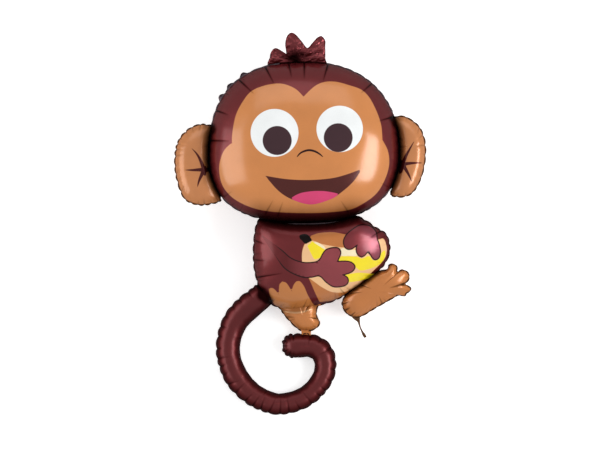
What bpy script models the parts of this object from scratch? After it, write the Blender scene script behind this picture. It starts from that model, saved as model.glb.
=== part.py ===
"""A monkey-shaped foil balloon that lies on its back, as one solid.

Two printed films are heat-sealed along one outline, and weld strips part the envelope into chambers: a head, two
ears, a body, a raised leg with toes, a hanging foot and a tail that curls into a hook. A tuft of hair and the filling
tab are flat margins of the same films. Every chamber is modelled flat about the seam plane and joined. The whole is
then laid down, so that the head, the body and the tail each rest their backs on the floor.

The front looks up along +Z and the head points along +Y.
"""

import math

import bmesh
import bpy
import numpy as np
from mathutils import Matrix

MM = 0.001

# Seam, weld and film
SEAM_WIDTH = 4.0 * MM
SEAM_THICKNESS = 1.2 * MM
SCALLOP_PITCH = 30.0 * MM
SCALLOP_DEPTH = 2.4 * MM
WELD_BOND = 2.6 * MM
WELD_OVERLAP = SCALLOP_DEPTH + WELD_BOND
POINTS_PER_SCALLOP = 3

# Head: a squarish oval, fuller at the jowls and squarer on its left half. Its middle is where the modelling starts,
# and the outlines below are in millimetres to the right and up.
HEAD_LEFT_HALF = 232.0 * MM
HEAD_RIGHT_HALF = 230.0 * MM
HEAD_HEIGHT = 391.0 * MM
HEAD_DEPTH = 228.0 * MM
HEAD_LEFT_SQUARENESS = 2.55
HEAD_RIGHT_SQUARENESS = 2.35
JOWL_SHARE = 0.07

# Ears: the free edge of each, from the widest point of the head's side and from the height of its middle. The weld
# runs along the head's edge at the heights given.
EAR_DEPTH = 66.0 * MM
LEFT_EAR_EDGE = (
    (16, 36),
    (-4, 45),
    (-28, 44),
    (-56, 29),
    (-77, 0),
    (-84, -40),
    (-79, -90),
    (-60, -137),
    (-26, -153),
    (10, -150),
    (32, -139),
)
LEFT_EAR_WELD = (-108, -68, -28, 8)
RIGHT_EAR_EDGE = (
    (-23, -127),
    (5, -134),
    (32, -123),
    (52, -90),
    (63, -45),
    (63, 2),
    (49, 38),
    (20, 61),
    (-4, 65),
    (-22, 56),
)
RIGHT_EAR_WELD = (28, -10, -50, -90)

# Body: the free edge, from the left shoulder down round the hips to the right shoulder. This and all that hangs
# from the body is measured from the middle of the chin.
BODY_DEPTH = 138.0 * MM
BODY_EDGE = (
    (-118, -0.5),
    (-125, -44.5),
    (-126, -84.5),
    (-123, -116.5),
    (-116, -146.5),
    (-110, -180.5),
    (-82, -198.5),
    (-45, -213.5),
    (-8, -212.5),
    (30, -202.5),
    (64, -193.5),
    (92, -180.5),
    (118, -163.5),
    (148, -144.5),
    (174, -123.5),
    (196, -99.5),
    (208, -70.5),
    (206, -42.5),
    (195, -21.5),
    (172, -7.5),
    (146, 10.5),
)
# Where the weld under the chin runs, in millimetres to the right of the head's middle
CHIN_WELD = (118, 78, 38, 0, -38, -76, -104)

# Raised leg: a squared-off pillow that slants up to the right under the body's edge, with three toes
LEG_DEPTH = 50.0 * MM
LEG_EDGE = (
    (92, -192.5),
    (93, -208.5),
    (109, -225.5),
    (136, -228.5),
    (175, -206.5),
    (214, -183.5),
    (238, -168.5),
    (243, -142.5),
    (231, -121.5),
    (204, -111.5),
    (172, -117.5),
    (133, -145.5),
    (106, -166.5),
)
# Each toe: its middle and its radius, and how deep all are for their width
TOE_DEPTH_SHARE = 0.85
TOES = (
    (212, -111.5, 14.0),
    (238.5, -127.5, 16.5),
    (244.5, -161.5, 14.0),
)

# Hanging foot, below the body's lowest edge
FOOT_DEPTH = 44.0 * MM
FOOT_EDGE = (
    (31, -194.5),
    (-15, -188.5),
    (-62, -199.5),
    (-58, -213.5),
    (-42, -234.5),
    (-26, -251.5),
    (-13, -261.5),
    (4, -264.5),
    (20, -261.5),
    (30, -256.5),
    (37, -247.5),
    (38, -237.5),
    (32, -227.5),
    (31, -211.5),
)
# A short flat strip of film ties the foot's lowest margin to the top of the tail's curl
FOOT_TIE_EDGE = (
    (-10, -281),
    (18, -281),
    (16, -268),
    (17, -256),
    (-8, -256),
    (-8, -268),
)

# Tail: the middle line from inside the hip round the loop to the hooked end, and half the width at each point
TAIL_LINE = (
    (-92, -164.5, 30.0),
    (-112, -183.5, 31.5),
    (-139, -205.5, 32.7),
    (-166, -234.5, 31.5),
    (-182, -270.5, 30.3),
    (-187, -307.5, 29.8),
    (-181, -341.5, 29.5),
    (-165, -376.5, 30.0),
    (-139, -406.5, 28.5),
    (-108, -427.5, 27.6),
    (-65, -440.5, 26.5),
    (-17, -431.5, 26.0),
    (19, -409.5, 25.8),
    (45, -374.5, 26.4),
    (51, -339.5, 27.2),
    (40, -311.5, 28.5),
    (14, -297.5, 29.0),
    (-18, -297.5, 30.0),
    (-51, -298.5, 29.0),
)
TAIL_STEPS = 40
TAIL_END_STEPS = 4

# Tuft of hair: three flat lobes, measured from the top of the head
TUFT_EDGE = (
    (44, -17.5),
    (50, 9.5),
    (50, 34.5),
    (50, 50.5),
    (41, 61.5),
    (30, 57.5),
    (18, 44.5),
    (6, 33.5),
    (-8, 50.5),
    (-23, 66.5),
    (-34, 69.5),
    (-43, 60.5),
    (-47, 42.5),
    (-45, 17.5),
    (-58, 27.5),
    (-70, 32.5),
    (-79, 26.5),
    (-84, 11.5),
    (-79, -15.5),
)

# Filling tab: a narrow strip below the knee
TAB_EDGE = (
    (112, -216.5),
    (140, -216.5),
    (135, -241.5),
    (143, -257.5),
    (151, -273.5),
    (144, -278.5),
    (136, -260.5),
    (127, -242.5),
)

# Lying on the floor: the body slants down from the chin until its back touches, then the tail runs level
TAIL_LEVEL = 24.0 * MM
BODY_SLOPE = 0.345
SLOPE_ROUNDING = 26.0 * MM
FLOOR_PRESS = 1.5 * MM


def smooth_loop(points, count):
    """A closed smooth curve through the points, at count even steps along its length."""
    p = np.array(points, float)
    before, after, last = np.roll(p, 1, 0), np.roll(p, -1, 0), np.roll(p, -2, 0)
    t = np.linspace(0, 1, 24, endpoint=False)[None, :, None]
    a, b, c, d = (q[:, None, :] for q in (before, p, after, last))
    curve = 0.5 * (2 * b + (c - a) * t + (2 * a - 5 * b + 4 * c - d) * t**2 + (3 * b - a - 3 * c + d) * t**3)
    return even_steps(curve.reshape(-1, 2), count)


def even_steps(loop, count):
    """A closed polyline walked at count even steps."""
    closed = np.vstack([loop, loop[:1]])
    walked = np.concatenate([[0], np.cumsum(np.linalg.norm(np.diff(closed, axis=0), axis=1))])
    steps = np.linspace(0, walked[-1], count, endpoint=False)
    return np.column_stack([np.interp(steps, walked, closed[:, k]) for k in (0, 1)])


def ring(x, y, radius, count):
    """A circle of points."""
    angle = np.linspace(0, 2 * math.pi, count, endpoint=False)
    return np.column_stack([x + radius * np.cos(angle), y + radius * np.sin(angle)])


def outward(loop):
    """The outward directions of a loop that runs anticlockwise."""
    along = np.roll(loop, -1, 0) - np.roll(loop, 1, 0)
    along /= np.linalg.norm(along, axis=1)[:, None]
    return np.column_stack([along[:, 1], -along[:, 0]])


def length_of(loop):
    return np.linalg.norm(np.roll(loop, -1, 0) - loop, axis=1).sum()


def chin():
    """The height of the chin's lowest point."""
    return -HEAD_HEIGHT / 2


def placed(points, x=0.0, y=0.0):
    """Points in millimetres, measured from a point of the head."""
    return np.array([(x + point[0] * MM, y + point[1] * MM) for point in points])


def head_half(height, side):
    """How far the head's edge is from its middle line at a height, on its left (-1) or its right (1)."""
    half, squareness = (HEAD_LEFT_HALF, HEAD_LEFT_SQUARENESS) if side < 0 else (HEAD_RIGHT_HALF, HEAD_RIGHT_SQUARENESS)
    share = min(1.0, abs(height) / (HEAD_HEIGHT / 2))
    return half * (1 - share**squareness) ** (1 / squareness) * (1 - JOWL_SHARE * height / (HEAD_HEIGHT / 2))


def head_rim(count):
    """The head's outer edge, anticlockwise from its right side."""
    angle = np.linspace(0, 2 * math.pi, 720, endpoint=False)
    height = HEAD_HEIGHT / 2 * np.sign(np.sin(angle)) * np.abs(np.sin(angle)) ** 0.8
    side = np.where(np.cos(angle) < 0, -1, 1)
    across = [way * head_half(up, way) for up, way in zip(height, side)]
    return even_steps(np.column_stack([across, height]), count)


def chin_height(x):
    """The height of the head's lower edge, to the left or the right of its middle."""
    half, squareness = (HEAD_LEFT_HALF, HEAD_LEFT_SQUARENESS) if x < 0 else (HEAD_RIGHT_HALF, HEAD_RIGHT_SQUARENESS)
    share = min(1.0, abs(x) / (half * (1 + JOWL_SHARE)))
    return -HEAD_HEIGHT / 2 * (1 - share**squareness) ** (1 / squareness)


def left_ear_rim(count):
    weld = [(-head_half(y * MM, -1) + WELD_OVERLAP, y * MM) for y in LEFT_EAR_WELD]
    return smooth_loop(np.vstack([placed(LEFT_EAR_EDGE, x=-HEAD_LEFT_HALF), weld]), count)


def right_ear_rim(count):
    weld = [(head_half(y * MM, 1) - WELD_OVERLAP, y * MM) for y in RIGHT_EAR_WELD]
    return smooth_loop(np.vstack([placed(RIGHT_EAR_EDGE, x=HEAD_RIGHT_HALF), weld]), count)


def body_rim(count):
    """The body's outer edge. Its top follows the chin and overlaps it by the weld."""
    weld = [(x * MM, chin_height(x * MM) + WELD_OVERLAP) for x in CHIN_WELD]
    return smooth_loop(np.vstack([placed(BODY_EDGE, y=chin()), weld]), count)


def leg_rim(count):
    return smooth_loop(placed(LEG_EDGE, y=chin()), count)


def foot_rim(count):
    return smooth_loop(placed(FOOT_EDGE, y=chin()), count)


def tail_line(count):
    """The tail's middle line and half width, at even steps from the hip to the hooked end."""
    knots = np.column_stack([placed(TAIL_LINE, y=chin()), [half * MM for _, _, half in TAIL_LINE]])
    knots = np.vstack([2 * knots[0] - knots[1], knots, 2 * knots[-1] - knots[-2]])
    place = np.linspace(0, len(TAIL_LINE) - 1, 600)
    k = np.minimum(place.astype(int), len(TAIL_LINE) - 2)
    t = (place - k)[:, None]
    a, b, c, d = (knots[k + i] for i in range(4))
    curve = 0.5 * (2 * b + (c - a) * t + (2 * a - 5 * b + 4 * c - d) * t**2 + (3 * b - a - 3 * c + d) * t**3)
    walked = np.concatenate([[0], np.cumsum(np.linalg.norm(np.diff(curve[:, :2], axis=0), axis=1))])
    steps = np.linspace(0, walked[-1], count)
    return np.column_stack([np.interp(steps, walked, curve[:, i]) for i in range(3)])


def new_object(name, mesh, collection):
    piece = bpy.data.objects.new(name, mesh)
    collection.objects.link(piece)
    return piece


def mesh_from(build):
    """A mesh from a bmesh, with its faces pointing out."""
    bmesh.ops.recalc_face_normals(build, faces=build.faces)
    if build.calc_volume(signed=True) < 0:
        bmesh.ops.reverse_faces(build, faces=build.faces)
    mesh = bpy.data.meshes.new("shape")
    build.to_mesh(mesh)
    build.free()
    return mesh


def pillow(name, rim, depth, rings, collection, middle=None):
    """An inflated chamber: a ball whose segments are led out to the rim. Its height falls off as the root of
    one less the cube of the share of the way to the seam, which is nearly the true form of an inflated film."""
    count = len(rim)
    middle = rim.mean(axis=0) if middle is None else middle
    build = bmesh.new()
    bmesh.ops.create_uvsphere(build, u_segments=count, v_segments=2 * rings, radius=1.0)
    for vertex in build.verts:
        share = math.hypot(vertex.co.x, vertex.co.y)
        segment = round(math.atan2(vertex.co.y, vertex.co.x) / (2 * math.pi) * count) % count
        out = middle + (rim[segment] - middle) * min(1.0, share) ** (2 / 3)
        vertex.co = (out[0], out[1], vertex.co.z * depth / 2)
    return new_object(name, mesh_from(build), collection)


def solid_from_curve(curve, name, collection):
    """The closed mesh of a curve, with its caps welded."""
    shown = bpy.data.objects.new(name, curve)
    bpy.context.scene.collection.objects.link(shown)
    bpy.context.view_layer.update()
    evaluated = shown.evaluated_get(bpy.context.evaluated_depsgraph_get())
    mesh = bpy.data.meshes.new_from_object(evaluated)
    bpy.data.objects.remove(shown)
    build = bmesh.new()
    build.from_mesh(mesh)
    bmesh.ops.remove_doubles(build, verts=build.verts, dist=1e-6)
    bpy.data.meshes.remove(mesh)
    return new_object(name, mesh_from(build), collection)


def flat_curve(name, loop, thickness):
    """A flat outline, filled and extruded to the thickness."""
    curve = bpy.data.curves.new(name, "CURVE")
    curve.dimensions = "2D"
    curve.fill_mode = "BOTH"
    curve.extrude = thickness / 2
    spline = curve.splines.new("POLY")
    spline.points.add(len(loop) - 1)
    for point, (x, y) in zip(spline.points, loop):
        point.co = (x, y, 0, 1)
    spline.use_cyclic_u = True
    return curve


def plate(name, loop, collection):
    """Flat sealed film inside an outline."""
    return solid_from_curve(flat_curve(name, loop, SEAM_THICKNESS), name, collection)


def scalloped(rim_of):
    """A rim drawn in by small scallops, where the sealed edge puckers between its creases."""
    scallops = round(length_of(rim_of(200)) / SCALLOP_PITCH)
    loop = rim_of(scallops * POINTS_PER_SCALLOP)
    phase = np.arange(len(loop)) * math.pi / POINTS_PER_SCALLOP
    drawn_in = SCALLOP_DEPTH * (1 - np.abs(np.sin(phase)))
    return loop - outward(loop) * drawn_in[:, None]


def chamber(name, rim_of, depth, count, rings, collection):
    """One chamber: its sealed, scalloped seam and the inflated pillow inside it."""
    rim = rim_of(count)
    inner = rim - outward(rim) * SEAM_WIDTH
    return [
        pillow(name, inner, depth, rings, collection),
        plate(name + "_seam", scalloped(rim_of), collection),
    ]


def tail_pieces(collection):
    """The tail's tube, round at its end, and its seam, scalloped on both sides."""
    line = tail_line(TAIL_STEPS)
    along = np.gradient(line[:, :2], axis=0)
    along /= np.linalg.norm(along, axis=1)[:, None]
    radius = line[:, 2] - SEAM_WIDTH
    # The last stretch, as long as the radius, is the round end
    step = np.linalg.norm(line[1, :2] - line[0, :2])
    last = TAIL_STEPS - 1 - round(radius[-1] / step)
    turn = np.linspace(0, 0.97 * math.pi / 2, TAIL_END_STEPS + 1)[1:]
    end_points = [line[last, :2] + along[last] * radius[last] * math.sin(a) for a in turn]
    points = np.vstack([line[: last + 1, :2], end_points])
    radii = np.concatenate([radius[: last + 1], radius[last] * np.cos(turn) ** 0.8])
    curve = bpy.data.curves.new("tail", "CURVE")
    curve.dimensions = "3D"
    curve.twist_mode = "Z_UP"
    curve.bevel_depth = 1.0
    curve.bevel_resolution = 3
    curve.use_fill_caps = True
    spline = curve.splines.new("POLY")
    spline.points.add(len(points) - 1)
    for point, (x, y), thickness in zip(spline.points, points, radii):
        point.co = (x, y, 0, 1)
        point.radius = thickness
    tube = solid_from_curve(curve, "tail", collection)

    def edge(count):
        fine = tail_line(TAIL_STEPS * 6)
        way = np.gradient(fine[:, :2], axis=0)
        way /= np.linalg.norm(way, axis=1)[:, None]
        stop = last * 6
        left = np.column_stack([-way[:, 1], way[:, 0]]) * fine[:, 2:]
        sweep = np.linspace(math.pi / 2, -math.pi / 2, 24)[1:-1, None]
        end = fine[stop, :2] + way[stop] * fine[stop, 2] * np.cos(sweep) + left[stop] * np.sin(sweep)
        middle = fine[: stop + 1, :2]
        loop = np.vstack([middle + left[: stop + 1], end, (middle - left[: stop + 1])[::-1]])
        return even_steps(loop[::-1], count)

    return [tube, plate("tail_seam", scalloped(edge), collection)]


def toe_pieces(collection):
    pieces = []
    for number, (toe, (x, y)) in enumerate(zip(TOES, placed(TOES, y=chin())), 1):
        radius = toe[2] * MM
        inner = ring(x, y, radius - SEAM_WIDTH / 2, 12)
        pieces.append(pillow(f"toe_{number}", inner, TOE_DEPTH_SHARE * 2 * radius, 3, collection))
        pieces.append(plate(f"toe_{number}_seam", ring(x, y, radius, 16), collection))
    return pieces


def tuft_piece(collection):
    return plate("tuft", smooth_loop(placed(TUFT_EDGE, y=HEAD_HEIGHT / 2), 50), collection)


def tab_piece(collection):
    """The filling tab runs down from the lower corner of the knee."""
    return plate("filling_tab", placed(TAB_EDGE[::-1], y=chin()), collection)


def foot_tie_piece(collection):
    """The tie crosses from the foot's margin to the tail's."""
    return plate("foot_tie", placed(FOOT_TIE_EDGE, y=chin()), collection)


def seam_height(y):
    """How high the seam runs above the floor: level at the head, sloping along the body, level at the tail."""
    head_level = HEAD_DEPTH / 2 - FLOOR_PRESS
    slope_start = chin() + WELD_OVERLAP
    slope_end = slope_start - (head_level - TAIL_LEVEL) / BODY_SLOPE

    def ramp(distance):
        """Zero, then the distance itself, with a rounded start."""
        return 0.5 * (distance + math.sqrt(distance * distance + SLOPE_ROUNDING**2)) - SLOPE_ROUNDING / 2

    drop = BODY_SLOPE * (ramp(slope_start - y) - ramp(slope_end - y))
    return max(TAIL_LEVEL, head_level - drop)


def joined(name, pieces, collection):
    """The union of the chambers and seams, as one mesh. The seams all lie in one plane, where the Manifold solver
    is the one that leaves a closed surface."""
    whole = new_object(name, pieces[0].data.copy(), collection)
    for piece in pieces[1:]:
        union = whole.modifiers.new("join_" + piece.name, "BOOLEAN")
        union.operation = "UNION"
        union.solver = "MANIFOLD"
        union.object = piece
    bpy.context.view_layer.update()
    mesh = bpy.data.meshes.new_from_object(whole.evaluated_get(bpy.context.evaluated_depsgraph_get()))
    whole.modifiers.clear()
    build = bmesh.new()
    build.from_mesh(mesh)
    bmesh.ops.triangulate(build, faces=build.faces)
    build.to_mesh(mesh)
    build.free()
    whole.data = mesh
    return whole


def laid_down(whole):
    """Drops each point from the flat seam plane to where it lies above the floor."""
    for vertex in whole.data.vertices:
        vertex.co.z += seam_height(vertex.co.y)


def centred(whole):
    """Moves the balloon so that the middle of its base is the origin."""
    corners = np.array([v.co[:] for v in whole.data.vertices])
    low, high = corners.min(axis=0), corners.max(axis=0)
    middle = (low + high) / 2
    whole.data.transform(Matrix.Translation((-middle[0], -middle[1], 0)))


def rest_on_floor(whole, helpers):
    """Cuts the soft backs flat where they press on the floor."""
    build = bmesh.new()
    bmesh.ops.create_cube(build, size=1.0)
    press = 50 * MM
    bmesh.ops.scale(build, vec=(2.0, 2.0, press), verts=build.verts)
    bmesh.ops.translate(build, vec=(0, 0, -press / 2), verts=build.verts)
    floor = new_object("floor_cutter", mesh_from(build), helpers)
    cut = whole.modifiers.new("rest_on_floor", "BOOLEAN")
    cut.operation = "DIFFERENCE"
    cut.solver = "EXACT"
    cut.object = floor


def foil_material():
    """Metallised film, printed dark brown."""
    foil = bpy.data.materials.new("printed_foil")
    foil.use_nodes = True
    shader = foil.node_tree.nodes["Principled BSDF"]
    shader.inputs["Base Color"].default_value = (0.13, 0.032, 0.035, 1)
    shader.inputs["Roughness"].default_value = 0.3
    shader.inputs["Metallic"].default_value = 0.55
    return foil


def main():
    for old in list(bpy.data.objects):
        bpy.data.objects.remove(old)
    shown = bpy.data.collections.new("monkey_foil_balloon")
    helpers = bpy.data.collections.new("chambers_and_cutters")
    for collection in (shown, helpers):
        bpy.context.scene.collection.children.link(collection)

    pieces = chamber("head", head_rim, HEAD_DEPTH, 60, 6, helpers)
    pieces += chamber("body", body_rim, BODY_DEPTH, 48, 5, helpers)
    pieces += chamber("left_ear", left_ear_rim, EAR_DEPTH, 28, 4, helpers)
    pieces += chamber("right_ear", right_ear_rim, EAR_DEPTH, 28, 4, helpers)
    pieces += chamber("leg", leg_rim, LEG_DEPTH, 28, 4, helpers)
    pieces += toe_pieces(helpers)
    pieces += chamber("foot", foot_rim, FOOT_DEPTH, 20, 3, helpers)
    pieces += tail_pieces(helpers)
    pieces += [tuft_piece(helpers), tab_piece(helpers), foot_tie_piece(helpers)]

    balloon = joined("foil_balloon", pieces, shown)
    laid_down(balloon)
    centred(balloon)
    rest_on_floor(balloon, helpers)
    for helper in helpers.objects:
        helper.hide_render = True
        helper.display_type = "WIRE"
    balloon.data.shade_smooth()
    balloon.data.set_sharp_from_angle(angle=math.radians(50))
    balloon.data.materials.clear()
    balloon.data.materials.append(foil_material())


main()
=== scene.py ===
# %% [markdown]
# # A monkey foil balloon
# A foil balloon is two thin printed films, sealed together along one outline and filled with gas. The film
# can't stretch, so where it is pulled in to the seam it has too much length and puckers. This lesson
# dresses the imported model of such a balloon: it builds the puckered skin, prints the picture on it and
# lights it like a studio shot.

import math

import bpy
import numpy as np
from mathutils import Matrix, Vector


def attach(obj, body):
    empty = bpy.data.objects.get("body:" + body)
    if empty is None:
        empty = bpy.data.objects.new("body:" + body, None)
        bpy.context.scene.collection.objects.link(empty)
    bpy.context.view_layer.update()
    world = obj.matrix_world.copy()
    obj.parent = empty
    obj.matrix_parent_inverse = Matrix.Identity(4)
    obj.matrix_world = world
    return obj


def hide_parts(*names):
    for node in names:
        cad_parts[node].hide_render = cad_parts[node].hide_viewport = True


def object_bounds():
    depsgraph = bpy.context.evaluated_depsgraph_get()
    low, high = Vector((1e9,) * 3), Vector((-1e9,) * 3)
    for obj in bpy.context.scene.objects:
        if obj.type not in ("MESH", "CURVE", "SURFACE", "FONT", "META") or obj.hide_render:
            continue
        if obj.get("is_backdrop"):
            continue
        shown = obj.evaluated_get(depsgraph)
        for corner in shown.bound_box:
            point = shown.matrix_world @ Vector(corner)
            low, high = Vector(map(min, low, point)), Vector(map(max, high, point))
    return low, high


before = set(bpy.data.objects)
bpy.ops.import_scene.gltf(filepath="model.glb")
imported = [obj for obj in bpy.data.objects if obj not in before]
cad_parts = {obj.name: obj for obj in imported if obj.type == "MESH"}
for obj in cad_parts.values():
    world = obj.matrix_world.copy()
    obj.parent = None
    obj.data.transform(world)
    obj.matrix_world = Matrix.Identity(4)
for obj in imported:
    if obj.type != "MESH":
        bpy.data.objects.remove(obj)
cad_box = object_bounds()
print("packed model:", sorted(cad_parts), "box", [[round(c, 3) for c in corner] for corner in cad_box])

# %% [markdown]
# The balloon lies on its back with its face up, so the camera looks straight down. A long lens from far
# away keeps the high head and the low tail at the same scale, as in a studio shot of a hanging balloon.

# %% The camera above the balloon
PIXEL = 0.00242
PHOTO_WIDTH = 600
CAMERA_HEIGHT = 12.0
CAMERA_AIM = (-0.0004, -0.001)
SENSOR = 36.0

camera_data = bpy.data.cameras.new("camera")
camera_data.sensor_width = SENSOR
camera_data.lens = SENSOR * (CAMERA_HEIGHT - 0.1) / (PHOTO_WIDTH * PIXEL)
camera_data.clip_end = 100.0
camera = bpy.data.objects.new("camera", camera_data)
camera.location = (*CAMERA_AIM, CAMERA_HEIGHT)
bpy.context.scene.collection.objects.link(camera)
bpy.context.scene.camera = camera
print("lens", round(camera_data.lens), "mm")

# %% [markdown]
# All outlines are measured in millimetres from the middle of the head, because the head is the part
# that everything else hangs from. A smooth curve is led through a few points, and then walked at even
# steps.

# %% Millimetres and smooth outlines
MM = 0.001
HEAD_MIDDLE = np.array([0.01075, 0.1987])


def smooth_curve(points, count, closed=True):
    """Even steps along a smooth curve through the points, each of two or more numbers."""
    p = np.array(points, float)
    if closed:
        knots = np.vstack([p[-1:], p, p[:2]])
    else:
        knots = np.vstack([2 * p[:1] - p[1:2], p, 2 * p[-1:] - p[-2:-1]])
    t = np.linspace(0, 1, 16, endpoint=False)[None, :, None]
    a, b, c, d = (knots[i : len(knots) - 3 + i, None, :] for i in range(4))
    curve = 0.5 * (2 * b + (c - a) * t + (2 * a - 5 * b + 4 * c - d) * t**2 + (3 * b - a - 3 * c + d) * t**3)
    curve = np.vstack([curve.reshape(-1, p.shape[1]), p[:1] if closed else p[-1:]])
    return even_steps(curve, count, closed)


def walked_along(line):
    """How far along a line each of its points is."""
    return np.concatenate([[0], np.cumsum(np.linalg.norm(np.diff(line[:, :2], axis=0), axis=1))])


def even_steps(curve, count, closed=True):
    walked = walked_along(curve)
    steps = np.linspace(0, walked[-1], count, endpoint=not closed)
    return np.column_stack([np.interp(steps, walked, curve[:, k]) for k in range(curve.shape[1])])


def outward(loop):
    """Outward directions of a loop that runs anticlockwise."""
    along = np.roll(loop, -1, 0) - np.roll(loop, 1, 0)
    along /= np.linalg.norm(along, axis=1)[:, None] + 1e-12
    return np.column_stack([along[:, 1], -along[:, 0]])


def length_round(loop):
    return np.linalg.norm(np.roll(loop, -1, 0) - loop, axis=1).sum()


# %% How far inside an outline
def depth_inside(points, loop):
    """How far inside a closed outline each point is, in millimetres. Outside, it is below nought."""
    nearest = np.full(len(points), 1e9)
    crossings = np.zeros(len(points), int)
    for a, b in zip(loop, np.roll(loop, -1, 0)):
        side = b - a
        length = side @ side
        if length < 1e-12:
            continue
        share = np.clip(((points - a) @ side) / length, 0, 1)
        away = points - a - share[:, None] * side
        nearest = np.minimum(nearest, (away * away).sum(axis=1))
        spans = (a[1] > points[:, 1]) != (b[1] > points[:, 1])
        if spans.any():
            crossings += spans & (points[:, 0] < a[0] + (points[:, 1] - a[1]) * side[0] / (side[1] or 1e-12))
    return np.sqrt(nearest) * np.where(crossings % 2 == 1, 1, -1)


square = np.array([(0, 0), (10, 0), (10, 10), (0, 10)], float)
print("the middle of a 10 mm square is", depth_inside(np.array([[5.0, 5.0]]), square)[0], "mm inside it")

# %% [markdown]
# The head is a squarish oval that is fuller at the jowls. A formula gives a cleaner edge than points would,
# and the weld lines of the ears and the body can follow it.

# %% The head's outline
LEFT, RIGHT = -1, 1
HEAD_HALF_WIDTH = {LEFT: 232.0, RIGHT: 230.0}
HEAD_HALF_HEIGHT = 195.5
HEAD_SQUARENESS = {LEFT: 2.55, RIGHT: 2.35}
JOWL_SHARE = 0.07
WELD_OVERLAP = 5.0


def head_side(height, side):
    """How far the head's edge is from its middle line, in millimetres."""
    power = HEAD_SQUARENESS[side]
    share = min(1.0, abs(height) / HEAD_HALF_HEIGHT)
    oval = HEAD_HALF_WIDTH[side] * (1 - share**power) ** (1 / power)
    return oval * (1 - JOWL_SHARE * height / HEAD_HALF_HEIGHT)


def chin_edge(x):
    """The height of the head's lower edge at x."""
    side = LEFT if x < 0 else RIGHT
    power = HEAD_SQUARENESS[side]
    share = min(1.0, abs(x) / (HEAD_HALF_WIDTH[side] * (1 + JOWL_SHARE)))
    return -HEAD_HALF_HEIGHT * (1 - share**power) ** (1 / power)


def head_outline(count):
    angle = np.linspace(0, 2 * math.pi, 1440, endpoint=False)
    height = HEAD_HALF_HEIGHT * np.sign(np.sin(angle)) * np.abs(np.sin(angle)) ** 0.8
    side = np.where(np.cos(angle) < 0, LEFT, RIGHT)
    across = [way * head_side(up, way) for up, way in zip(height, side)]
    loop = np.column_stack([across, height])
    return even_steps(np.vstack([loop, loop[:1]]), count)


print("head", sum(HEAD_HALF_WIDTH.values()), "x", 2 * HEAD_HALF_HEIGHT, "mm")

# %% [markdown]
# The other chambers are free forms. Each ear is a free edge plus a weld that follows the head. The body's
# free edge runs from the left shoulder round the hips to the right shoulder, and its top follows the chin.

# %% The outlines of the ears and the body
LEFT_EAR_EDGE = (
    (-216, 36), (-236, 45), (-260, 44), (-288, 29), (-309, 0), (-316, -40), (-311, -90), (-292, -137),
    (-258, -153), (-222, -150), (-200, -139),
)
RIGHT_EAR_EDGE = (
    (207, -127), (235, -134), (262, -123), (282, -90), (293, -45), (293, 2), (279, 38), (250, 61),
    (226, 65), (208, 56),
)
BODY_EDGE = (
    (-118, -196), (-125, -240), (-126, -280), (-123, -312), (-116, -342), (-110, -376), (-82, -394),
    (-45, -409), (-8, -408), (30, -398), (64, -389), (92, -376), (118, -359), (148, -340), (174, -319),
    (196, -295), (208, -266), (206, -238), (195, -217), (172, -203), (146, -185),
)
left_ear_weld = tuple((-head_side(y, LEFT) + WELD_OVERLAP, y) for y in (-108, -68, -28, 8))
right_ear_weld = tuple((head_side(y, RIGHT) - WELD_OVERLAP, y) for y in (28, -10, -50, -90))
chin_weld = tuple((x, chin_edge(x) + WELD_OVERLAP) for x in (118, 78, 38, 0, -38, -76, -104))
print("points of the ears", len(LEFT_EAR_EDGE), len(RIGHT_EAR_EDGE), "and the body", len(BODY_EDGE))

# %% The outlines of the raised leg, the foot, the tuft and the tab
LEG_EDGE = (
    (90, -384), (93, -404), (107, -420), (134, -425), (175, -402), (214, -379.5), (229, -371.5),
    (238, -374), (245, -373), (249, -366.5), (254, -364), (259.5, -359), (259, -352), (253, -346.5),
    (246, -342), (250, -339), (255, -331), (255, -320), (249, -311), (239, -307), (230, -308.5),
    (225.5, -312), (226, -303), (222, -296), (213, -292.5), (203, -296), (198, -306), (172, -313),
    (133, -341), (106, -362),
)
FOOT_EDGE = (
    (31, -390), (-15, -384), (-62, -395), (-58, -409), (-42, -430), (-26, -447), (-13, -457), (4, -460),
    (20, -457), (30, -452), (37, -443), (38, -433), (32, -423), (31, -407),
)
TUFT_EDGE = (
    (44, 178), (50, 205), (50, 230), (50, 246), (41, 257), (30, 253), (18, 240), (6, 229), (-8, 246),
    (-23, 262), (-34, 265), (-43, 256), (-47, 238), (-45, 213), (-58, 223), (-70, 228), (-79, 222),
    (-84, 207), (-79, 180),
)
TAIL_LINE = (
    (-92, -360, 30.0), (-112, -379, 31.5), (-139, -401, 32.7), (-166, -430, 31.5), (-182, -466, 30.3),
    (-187, -503, 29.8), (-181, -537, 29.5), (-165, -572, 30.0), (-139, -602, 28.5), (-108, -623, 27.6),
    (-65, -636, 26.5), (-17, -627, 26.0), (19, -605, 25.8), (45, -570, 26.4), (51, -535, 27.2),
    (40, -507, 28.5), (14, -493, 29.0), (-18, -493, 30.0), (-51, -494, 29.0),
)
print("the tail is", round(walked_along(np.array(TAIL_LINE))[-1]), "mm long")

# %% [markdown]
# Real film puckers in a pattern that looks random but isn't: creases start at the seam, every two or three
# centimetres, and each runs inwards for its own length. Between two creases the edge bulges out in a
# scallop. One seeded list of creases per chamber gives the same balloon on every run.

# %% Creases along a seam
# Short creases get a little painted shade in their folds, this strong and this wide
SHORT_CREASE_SHADE = 0.4
SHORT_CREASE_SHADE_WIDTH = 2.2
SWELL_REACH = 13.0
# A long crease has a steep side and a gentle one, and its painted shade is full from this depth on
STEEP_SIDE = 2.0
GENTLE_SIDE = 9.0
LONG_CREASE_SHADE_WIDTH = 2.4
FULL_CREASE_SHADE_DEPTH = 1.6


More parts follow.
